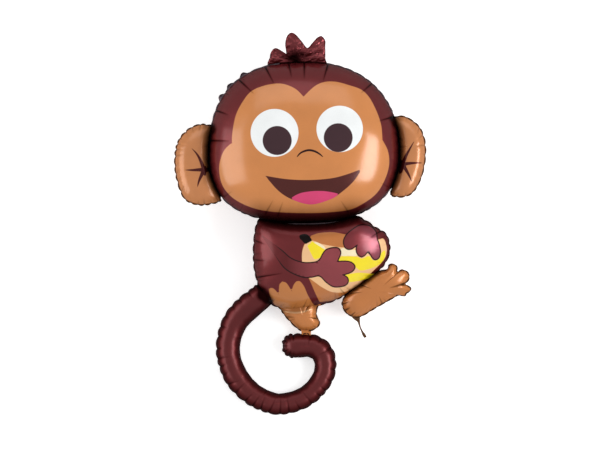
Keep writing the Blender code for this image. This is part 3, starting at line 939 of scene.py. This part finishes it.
YELLOW_PX = (
    (
        (307.2, 245.6), (307.2, 245.6), (312.3, 241.6), (312.3, 241.6), (324.6, 249.4), (323, 256),
        (314.2, 259.6), (314.2, 259.6), (310.4, 252.4),
    ),
    (
        (337.6, 261.2), (337.6, 261.2), (341, 256), (349, 256.2), (357, 256.6), (362, 258.6),
        (368.8, 255.6), (372.8, 260.2), (379.2, 259), (381.2, 253), (384.8, 250.4), (385, 256.4),
        (381, 263), (374.6, 267), (366, 269.8), (359.8, 270.4), (354, 266.4),
    ),
    (
        (344.2, 275), (344.2, 275), (358.6, 272.6), (373.8, 274), (373.8, 274), (371.6, 277.4),
        (358.6, 281), (348.4, 282), (347, 279),
    ),
)
# The cream marks on the banana are partly printed cream and partly a painted highlight
CREAM_AND_HIGHLIGHT_PX = (
    (
        (312.3, 241.6), (312.3, 241.6), (318, 242.6), (325.4, 247.4), (324.6, 249.4), (324.6, 249.4),
    ),
    (
        (341, 247.6), (349, 250), (355.4, 250), (357.6, 255.6), (349, 255.6), (341, 255.4),
    ),
)
BLACK_TIP_PX = (
    (299.6, 235.4), (303.6, 233.9), (307.6, 234.6), (310.8, 238), (311.9, 240.6), (311.9, 240.6),
    (304.8, 244.6), (304.8, 244.6), (303, 241.6), (299.8, 238.6),
)
ARM_PX = (
    (258, 232), (281, 249.5), (291.3, 258.2), (303.2, 262.3), (315.2, 261.8), (320, 258.6), (322.2, 254.3),
    (326, 249.5), (332.5, 247.5), (338, 247.9), (340.7, 251.6), (339.6, 256.5), (337.3, 261.4),
    (337.3, 261.4), (344.5, 260.9), (351, 262), (354.8, 265.8), (353.7, 270), (349.9, 272.8),
    (343.2, 274.8), (343.2, 274.8), (347.2, 277.2), (348.3, 281.5), (345.6, 285.3), (339, 286.9),
    (332.5, 286.4), (326, 282), (319.5, 276), (310.8, 277.2), (301, 276.6), (285.8, 269), (274.8, 254.9),
    (262, 236),
)
HAND_PX = (
    (351.5, 229.8), (346, 234.8), (343.2, 240.8), (344.4, 246.8), (348.3, 249.5), (352.6, 248.4),
    (356.9, 244.6), (356.9, 244.6), (355.9, 249.5), (357, 253.8), (360.8, 257.1), (365.1, 254.9),
    (368.4, 250), (368.4, 250), (370.5, 255.4), (374.3, 259.8), (378.7, 258.1), (380.3, 252.2),
    (379.2, 244.6), (377, 238.1), (376, 232), (370, 226), (360, 225),
)
# The light line along the foot's weld is a painted highlight
WELD_HIGHLIGHT_PX = ((281, 311.4), (286, 312.2), (291, 312.8), (297, 313), (303, 312.2), (308, 310.6), (313, 309.4))
THIGH_PX = (
    (268.5, 288.4), (268.5, 288.4), (272.4, 288), (275.8, 290.6), (279.1, 295.4), (279.1, 295.4),
    (279, 289.6), (279.5, 284.4), (282.2, 281.5), (286, 282.6), (289.2, 286.8), (291.8, 292.2),
    (291.8, 292.2), (292.8, 286.8), (295, 282.6), (298, 280.5), (301.1, 282.2), (304.4, 287),
    (307.6, 294.6), (312, 302.6), (316, 310), (300, 318), (284, 314), (274.5, 305), (270.4, 297),
)
print("arm outline of", len(ARM_PX), "points")

# %% [markdown]
# The mesh carries each outline as a number per point: how far inside the outline the point is. The shader
# turns that number into a crisp edge where it passes nought, which stays sharp between the points.

# %% Keep numbers on the mesh
OUTSIDE = -40.0


def points_of(finish=None, part=None):
    """The numbers of the points that have a finish, belong to a part, or both."""
    wanted = [
        span
        for (its_part, its_finish), spans in skin.spans.items()
        for span in spans
        if part in (None, its_part) and finish in (None, its_finish)
    ]
    return np.concatenate([np.arange(first, end) for first, end in wanted])


def store(name, values, finish=None):
    """Keeps one number per point on the mesh. Away from the given finish it is far outside."""
    full = np.full(len(laid), OUTSIDE)
    where = np.arange(len(laid)) if finish is None else points_of(finish)
    full[where] = values
    mesh.attributes.new(name, "FLOAT", "POINT").data.foreach_set("value", full)


# The painted shade of the creases' folds
store("fold", np.concatenate(skin.fold))
pucker_numbers = mesh.attributes.new("pucker", "FLOAT_VECTOR", "POINT").data
pucker_numbers.foreach_set("vector", np.vstack(skin.pucker).ravel())
print("points of the face's film:", len(points_of("face")))


# %% Measure from circles and strokes
def circles(points, circles_px):
    """How far inside any of several circles each point is."""
    middles = from_photo([c[:2] for c in circles_px])
    radii = [c[2] * PIXEL / MM for c in circles_px]
    return np.max([r - np.linalg.norm(points - m, axis=1) for m, r in zip(middles, radii)], axis=0)


def beside(points, line_px, width, one_end=False, count=60):
    """How far to the left of a stroke each point is, and the half width there, tapered at its ends."""
    line = smooth_curve(from_photo(line_px), count, closed=False)
    away = np.linalg.norm(points[:, None] - line[None], axis=2)
    nearest = np.argmin(away, axis=1)
    ahead = np.gradient(line, axis=0)
    ahead /= np.linalg.norm(ahead, axis=1)[:, None]
    offset = points - line[nearest]
    side = ahead[nearest, 0] * offset[:, 1] - ahead[nearest, 1] * offset[:, 0]
    past = np.abs((offset * ahead[nearest]).sum(axis=1))
    share = nearest / (count - 1)
    taper = share**0.7 if one_end else np.sqrt(np.clip(1 - (2 * share - 1) ** 2, 0, 1))
    return side, 0.5 * width * taper - np.where((nearest == 0) | (nearest == count - 1), past, 0)


def store_stroke(name, finish, stroke):
    """Keeps a stroke's two numbers, the place beside it and the half width."""
    for word, values in zip(("side", "half"), stroke):
        store(f"{name}_{word}", values, finish)


one = from_photo([[300, 200]])
print("a point on a circle's middle is", round(float(circles(one, ((300, 200, 5),))[0]), 1), "mm inside it")

# %% Print the face and the ears, and paint a highlight line along the foot's weld
NOSE_WIDTH = 5.0
SPIKE_WIDTH = 11.0
WELD_HIGHLIGHT_WIDTH = 4.5
on_face, on_ears, on_limbs, on_body = (
    flat_points[points_of(finish), :2] for finish in ("face", "ear", "caramel", "belly")
)
mouth = inside_any(on_face, MOUTH_PX)
for name, values in (
    ("face", inside_any(on_face, FACE_PX, count=300)), ("eyes", circles(on_face, EYES_PX)),
    ("pupils", circles(on_face, PUPILS_PX)), ("mouth", mouth),
    ("tongue", np.minimum(mouth, inside_any(on_face, TONGUE_PX))),
):
    store(name, values, "face")
store_stroke("nose", "face", beside(on_face, NOSE_PX, NOSE_WIDTH))
for number, both_px in enumerate(zip(LEFT_SPIKES_PX, RIGHT_SPIKES_PX)):
    left_one, right_one = (beside(on_ears, line_px, SPIKE_WIDTH, one_end=True) for line_px in both_px)
    store_stroke(f"spike_{number}", "ear", np.where(on_ears[:, 0] < 0, left_one, right_one))
store_stroke("weld", "caramel", beside(on_limbs, WELD_HIGHLIGHT_PX, WELD_HIGHLIGHT_WIDTH))
print("points inside the eyes:", int((circles(on_face, EYES_PX) > 0).sum()))

# %% Print the body
for name, outlines_px in (
    ("patch", (BELLY_PX,)), ("peach", (PEACH_PX,)), ("yellow", YELLOW_PX), ("cream_and_highlight", CREAM_AND_HIGHLIGHT_PX),
    ("black_tip", (BLACK_TIP_PX,)), ("arm", (ARM_PX,)), ("hand", (HAND_PX,)), ("thigh", (THIGH_PX,)),
):
    store(name, inside_any(on_body, *outlines_px, count=200), "belly")
# Each arm's print gets a painted sheen, lighter towards its fingers, and the lines of one fade out towards
# the shoulder
PAINTED_SHEEN_ENDS = {"arm_sheen": (ARM_PX, -8.0, 70.0), "hand_sheen": (HAND_PX, 150.0, 44.0)}
for name, (outline_px, start, blend) in PAINTED_SHEEN_ENDS.items():
    sheen_share = np.minimum(inside_any(on_body, outline_px, count=200), (on_body[:, 0] - start) / blend)
    store(name, sheen_share, "belly")
ARM_LINE_END = -76.0
LINE_HALF_WIDTH = 1.4
store("arm_line", LINE_HALF_WIDTH * np.clip((on_body[:, 0] - ARM_LINE_END) / 22, 0, 1), "belly")
print("numbers kept on each point:", len(mesh.attributes))

# %% [markdown]
# Where two chambers meet there is a deep groove. Its two sides mirror only each other, so the film goes
# dark there long before the light stops reaching it. Each point gets a painted shade by how near it is to
# its neighbour's outline.

# %% Shade in the grooves
GROOVES = (
    ("left_ear", "head", 24, 1.0), ("right_ear", "head", 20, 1.0), ("head", "left_ear", 9, 0.88),
    ("head", "right_ear", 9, 0.88), ("head", "body", 54, 0.88), ("body", "head", 44, 1.0),
    ("leg", "body", 9, 0.75), ("body", "leg", 6, 0.7), ("foot", "body", 8, 0.42), ("tail", "body", 9, 0.95),
    ("body", "tail", 9, 0.95), ("tuft", "head", 7, 1.0),
)
shade = np.zeros(len(laid))


def darken(points, tone):
    shade[points] = np.maximum(shade[points], tone)


for part, neighbour, reach, deepest in GROOVES:
    these = points_of(part=part)
    loop = outlines[neighbour]
    near = depth_inside(flat_points[these, :2], loop[:: max(1, len(loop) // 160)])
    darken(these, np.minimum(deepest, np.clip(1 + near / reach, 0, 1) ** 1.5))
print("points in a groove:", int((shade > 0.5).sum()))

# %% Shade at the tail's seams, the body's lowest seam and the tuft's root
# Painted shade: the tail darkens towards both seams, and the body towards its lowest seam, which faces away
# from the lights
TAIL_RIM = 15.0
BODY_RIM = 20.0
BODY_LOW_FROM = -345
inward = np.vstack(skin.pucker)[:, 2]
tail_points, body_points, tuft_points = points_of("tail"), points_of("belly"), points_of(part="tuft")
darken(tail_points, 0.6 * np.clip(1 - inward[tail_points] / TAIL_RIM, 0, 1) ** 1.1)
low = np.clip((BODY_LOW_FROM - on_body[:, 1]) / 40, 0, 1)
darken(body_points, 0.34 * low * np.clip(1 - inward[body_points] / BODY_RIM, 0, 1))
# The tuft gets painted shade, darkest in its middle lobe's root, and along its edges
on_tuft = flat_points[tuft_points, :2]
x, y = on_tuft.T
darken(tuft_points, np.exp(-(((x + 22) / 33) ** 2) - ((y - 204) / 22) ** 4))
darken(tuft_points, 0.55 * np.clip(1 - depth_inside(on_tuft, outlines["tuft"]) / 5, 0, 1))
# The raised strip in the groove under the chin, a painted highlight, gets little painted shade
shade[points_of("head_margin", "body")] = 0.1
store("shade", shade)
print("points that are shaded at all:", int((shade > 0).sum()))

# %% [markdown]
# All films share one way of building a finish: a base colour, layers of print over it, and then the same
# painted shade and unevenness. Painted shade darkens the folds and grooves, the ink is slightly uneven, and
# fine puckers run in from the seams.

# %% A shader in a few words
class Finish:
    """Builds one material. Each call adds nodes and returns the output to use next."""

    def __init__(self, name):
        self.material = bpy.data.materials.new(name)
        self.material.use_nodes = True
        self.tree = self.material.node_tree
        self.shader = self.tree.nodes["Principled BSDF"]

    def fill(self, socket, value):
        """Gives a socket another node's output, a fixed value, or nothing new."""
        if isinstance(value, bpy.types.NodeSocket):
            self.tree.links.new(value, socket)
        elif value is not None:
            socket.default_value = value

    def set(self, sockets):
        """Fills sockets of the shader by their names."""
        for name, value in sockets.items():
            self.fill(self.shader.inputs[name], value)

    def node(self, kind, *inputs, **settings):
        made = self.tree.nodes.new(kind)
        for key, value in settings.items():
            setattr(made, key, value)
        for socket, value in zip(made.inputs, inputs):
            self.fill(socket, value)
        return made

    def value(self, attribute, output="Fac"):
        """A number that the mesh carries at each point."""
        return self.node("ShaderNodeAttribute", attribute_name=attribute).outputs[output]

    def math(self, operation, *inputs):
        return self.node("ShaderNodeMath", *inputs, operation=operation).outputs[0]

    def ramp(self, share, from_low, from_high, low, high):
        return self.node("ShaderNodeMapRange", share, from_low, from_high, low, high).outputs[0]

    def mix(self, share, below, above):
        """Blends two colours, which are a Mix node's seventh and eighth inputs."""
        return self.node("ShaderNodeMix", share, *[None] * 5, below, above, data_type="RGBA").outputs[2]

    def noise(self, where, scale, detail=3.0, stretch=(1, 1, 1)):
        scaled = self.node("ShaderNodeMapping", where, None, None, stretch).outputs[0]
        return self.node("ShaderNodeTexNoise", scaled, None, scale, detail).outputs["Fac"]

    def between(self, noise, low, high):
        """Stretches a noise, which keeps near a half, from low to high."""
        return self.ramp(noise, 0.3, 0.7, low, high)


def colour(red, green, blue):
    """A shader colour from the 0 to 255 numbers that a picture shows."""
    linear = [((c / 255 + 0.055) / 1.055) ** 2.4 if c > 10 else c / 255 / 12.92 for c in (red, green, blue)]
    return (*linear, 1.0)


BROWN = colour(122, 41, 44)
# The tail's brown is a darker copy of the brown ink: painted shade
SHADED_TAIL_BROWN = colour(108, 36, 38)
CARAMEL_INK = colour(214, 136, 73)
LIMB_INK = colour(208, 130, 70)
EAR_INK = colour(208, 135, 82)
LINE_INK = colour(44, 8, 12)
print("brown ink is", [round(c, 3) for c in BROWN[:3]], "in the shader")

# %% [markdown]
# Metallised film is a mirror under clear ink. The ink's pigment scatters some light, so the finish lies
# between metal and plastic. White areas have an opaque white ink below them and shine least.

# %% Print, painted shade and puckers of a film
METAL = 0.68
PALE_METAL = 0.1
EDGE_BLUR = 0.5
DARKEST_CREASE_SHADE = 0.12
DARKEST_GROOVE_SHADE = 0.04
BLACK = (0.0, 0.0, 0.0, 1.0)


def printed(f, ink, metal, layers):
    """Lays the print's layers over an ink. Each is a depth inside it, its ink and its metal share."""
    for layer in layers:
        depth, layer_ink, layer_metal = layer(f) if callable(layer) else layer
        depth = f.value(depth) if isinstance(depth, str) else depth
        inside = f.ramp(depth, -EDGE_BLUR, EDGE_BLUR, 0.0, 1.0)
        ink = f.mix(inside, ink, layer_ink)
        metal = f.ramp(inside, 0.0, 1.0, metal, layer_metal)
    return ink, metal


def painted_hollow_shade(f):
    """Painted shade: one on the open film, and less in folds and grooves."""
    folds = f.ramp(f.value("fold"), 0.05, 0.75, 1.0, DARKEST_CREASE_SHADE)
    return f.math("MULTIPLY", folds, f.ramp(f.value("shade"), 0.0, 1.0, 1.0, DARKEST_GROOVE_SHADE))


def puckered(f, place, pucker, inward, height):
    """Fine puckers at the seam, and a faint overall crinkle."""
    near = f.math("POWER", 2.718, f.math("MULTIPLY", inward, -0.11))
    ridges = f.math("MULTIPLY", f.noise(pucker, 0.16, 3.0, (1, 1, 0.12)), near)
    crinkle = f.math("MULTIPLY", f.noise(place, 26.0, 2.0), 0.16)
    return f.node("ShaderNodeBump", 1.0, 0.006 * height, None, f.math("ADD", ridges, crinkle)).outputs[0]


def stroke(name, ink, half_width=None):
    """A layer for a line: the mesh carries how far beside it a place is and, mostly, its half width."""

    def layer(f):
        beside_it = f.math("ABSOLUTE", f.value(f"{name}_side" if half_width is None else name))
        half = half_width or f"{name}_half"
        half = f.value(half) if isinstance(half, str) else half
        return f.math("SUBTRACT", half, beside_it), ink, METAL

    return layer


print("a print's edge is", 2 * EDGE_BLUR, "mm soft")

# %% A film
ROUGH = 0.36
GLOSS = 1.16
GLOSS_ROUGH = 0.2
FILM_IOR = 1.64
BROWN_RIM = (150, 84, 84)
CARAMEL_RIM = (214, 160, 110)


def film(name, base, layers=(), metal=METAL, rough=ROUGH, pucker=0.35, rim=BROWN_RIM, blur=GLOSS_ROUGH):
    """A printed film. Rim tints its slants, and blur softens its highlights."""
    f = Finish(name)
    place = f.node("ShaderNodeTexCoord").outputs["Object"]
    on_seam_at = f.value("pucker", "Vector")
    inward = f.node("ShaderNodeSeparateXYZ", on_seam_at).outputs[2]
    ink, shine = printed(f, base, metal, layers)
    # The ink is uneven in soft clouds, and folds and grooves get painted shade and shine less
    cloud = f.between(f.noise(place, 14.0, 4.0), 0.9, 1.0)
    grain = f.between(f.noise(place, 420.0, 2.0), 0.97, 1.0)
    hollow_shade = painted_hollow_shade(f)
    uneven_ink_and_shade = f.math("MULTIPLY", f.math("MULTIPLY", cloud, grain), hollow_shade)
    clear = f.math("MULTIPLY", f.math("SUBTRACT", GLOSS, shine), f.ramp(inward, 0.0, 16.0, 0.14, 1.0))
    f.set({
        "Base Color": f.mix(uneven_ink_and_shade, BLACK, ink),
        "Metallic": shine,
        "Roughness": f.between(f.noise(place, 60.0), rough - 0.05, rough + 0.06),
        "Normal": puckered(f, place, on_seam_at, inward, pucker),
        "Coat Weight": f.math("MULTIPLY", f.math("POWER", hollow_shade, 2), clear),
        "Coat Roughness": blur,
        "Coat IOR": FILM_IOR,
        "Specular IOR Level": 0.1,
        "Specular Tint": colour(*rim),
    })
    return f.material


print("the film's gloss has an IOR of", FILM_IOR)

# %% The films
FACE_LAYERS = (
    ("face", CARAMEL_INK, PALE_METAL),
    ("eyes", colour(252, 255, 255), 0.0),
    ("pupils", colour(64, 34, 42), 0.4),
    ("mouth", colour(84, 24, 18), 0.45),
    ("tongue", colour(238, 73, 128), 0.4),
    stroke("nose", LINE_INK),
)
# The weld layer is a painted highlight line on the caramel
LIMB_LAYERS = [stroke("weld", colour(246, 186, 134))]
SPIKE_INK = colour(84, 22, 22)
EAR_LAYERS = [stroke(f"spike_{number}", SPIKE_INK) for number in range(len(LEFT_SPIKES_PX))]
# The layers that lighten the arm and the hand towards the fingers are painted sheen
BODY_LAYERS = (
    ("patch", colour(196, 119, 57), PALE_METAL),
    ("peach", colour(252, 200, 146), 0.15),
    ("yellow", colour(255, 232, 30), 0.1),
    ("cream_and_highlight", colour(255, 240, 200), 0.1),
    ("black_tip", colour(20, 10, 10), 0.9),
    ("arm", colour(108, 33, 36), METAL),
    ("arm_sheen", colour(168, 78, 84), METAL),
    stroke("arm", LINE_INK, "arm_line"),
    ("hand", colour(132, 50, 56), METAL),
    ("hand_sheen", colour(160, 82, 96), METAL),
    stroke("hand", LINE_INK, LINE_HALF_WIDTH),
    ("thigh", colour(198, 124, 63), PALE_METAL),
)
finishes = {
    "face": film("head_film", BROWN, FACE_LAYERS),
    "ear": film("ear_film", EAR_INK, EAR_LAYERS, metal=0.25, rim=CARAMEL_RIM),
    "belly": film("body_film", BROWN, BODY_LAYERS),
    "caramel": film("caramel_film", LIMB_INK, LIMB_LAYERS, metal=0.3, rim=CARAMEL_RIM),
    "brown": film("brown_film", BROWN),
    # The tail's film uses the darker brown, a painted shade
    "tail": film("tail_film", SHADED_TAIL_BROWN, metal=0.74, rough=0.42, blur=0.32),
    "margin": film("brown_margin", colour(62, 30, 32), metal=0.5, rough=0.4),
    "head_margin": film("head_margin", colour(92, 78, 84), metal=0.8, rough=0.3),
    "caramel_margin": film("caramel_margin", colour(92, 58, 34), metal=0.5, rough=0.4),
    "tuft": film("tuft_film", colour(134, 56, 60), metal=0.85, rough=0.2, pucker=0.5),
    "tab": film("tab_film", colour(104, 70, 44), metal=0.6, rough=0.35),
}
print("films:", ", ".join(sorted(finishes)))

# %% Put the films on the mesh
# Where the thigh is printed, the body's margin is caramel too
THIGH_LEFT, THIGH_RIGHT, THIGH_TOP, THIGH_BOTTOM = -60, 40, -385, -418
x, y, _ = flat_points[faces].mean(axis=1).T
for k in np.flatnonzero((x > THIGH_LEFT) & (x < THIGH_RIGHT) & (y < THIGH_TOP) & (y > THIGH_BOTTOM)):
    if skin.finish[k] == "margin":
        skin.finish[k] = "caramel"
order = list(finishes)
for name in order:
    mesh.materials.append(finishes[name])
mesh.polygons.foreach_set("material_index", np.array([order.index(name) for name in skin.finish], np.int32))
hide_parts("foil_balloon")
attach(balloon, "root")
print("faces per film:", {name: skin.finish.count(name) for name in order})

# %% [markdown]
# A product shot of foil is a picture of its lights, because the film mirrors them. A tall soft box on the
# right gives the long highlight on the cheek, and a wide one on the left the softer one opposite. A big one
# above the head gives the sheen on the forehead. Nothing shines from the feet, so the undersides shade off.

# %% The floor and the lights
def soft_box(name, place, aim, size, power):
    data = bpy.data.lights.new(name, "AREA")
    data.shape = "RECTANGLE"
    data.size, data.size_y = size
    data.energy = power
    lamp = bpy.data.objects.new(name, data)
    lamp.location = place
    way = np.array(place) - np.array(aim)
    lamp.rotation_mode = "QUATERNION"
    lamp.rotation_quaternion = Vector(way).to_track_quat("Z", "Y")
    lamp.visible_camera = False
    bpy.context.scene.collection.objects.link(lamp)


floor_mesh = bpy.data.meshes.new("floor")
floor_mesh.from_pydata([(-30, -30, 0), (30, -30, 0), (30, 30, 0), (-30, 30, 0)], [], [(0, 1, 2, 3)])
floor = bpy.data.objects.new("floor", floor_mesh)
bpy.context.scene.collection.objects.link(floor)
floor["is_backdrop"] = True
paper = Finish("floor_paper")
paper_place = paper.node("ShaderNodeTexCoord").outputs["Object"]
paper_tone = paper.between(paper.noise(paper_place, 3.0), 0.0, 1.0)
paper.set({
    "Base Color": paper.mix(paper_tone, (0.88, 0.88, 0.88, 1), (0.9, 0.9, 0.9, 1)),
    "Roughness": 0.8,
    "Emission Color": (1, 1, 1, 1),
    "Emission Strength": 0.5,
})
floor_mesh.materials.append(paper.material)
# The balloon in the photo hung clear of any table, so its film doesn't mirror this one
floor.visible_glossy = False

soft_box("tall_box_right", (2.15, -0.4, 1.85), (0, 0.0, 0.1), (2.1, 1.15), 45)
soft_box("wide_box_left", (-2.5, -0.3, 1.35), (0, 0.0, 0.1), (2.6, 2.4), 36)
soft_box("wide_box_top", (0.0, 3.0, 2.6), (0, 0, 0.1), (4.4, 2.8), 30)

world = bpy.data.worlds.new("studio")
world.use_nodes = True
world.node_tree.nodes["Background"].inputs[0].default_value = (1, 1, 1, 1)
world.node_tree.nodes["Background"].inputs[1].default_value = 0.46
bpy.context.scene.world = world
bpy.context.scene.view_settings.view_transform = "Standard"

# %% Compare the two boxes and finish
balloon_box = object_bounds()
for name, box in (("packed", cad_box), ("dressed", balloon_box)):
    print(name, "model is", [round((high - low) * 1000, 1) for low, high in zip(*box)], "mm")
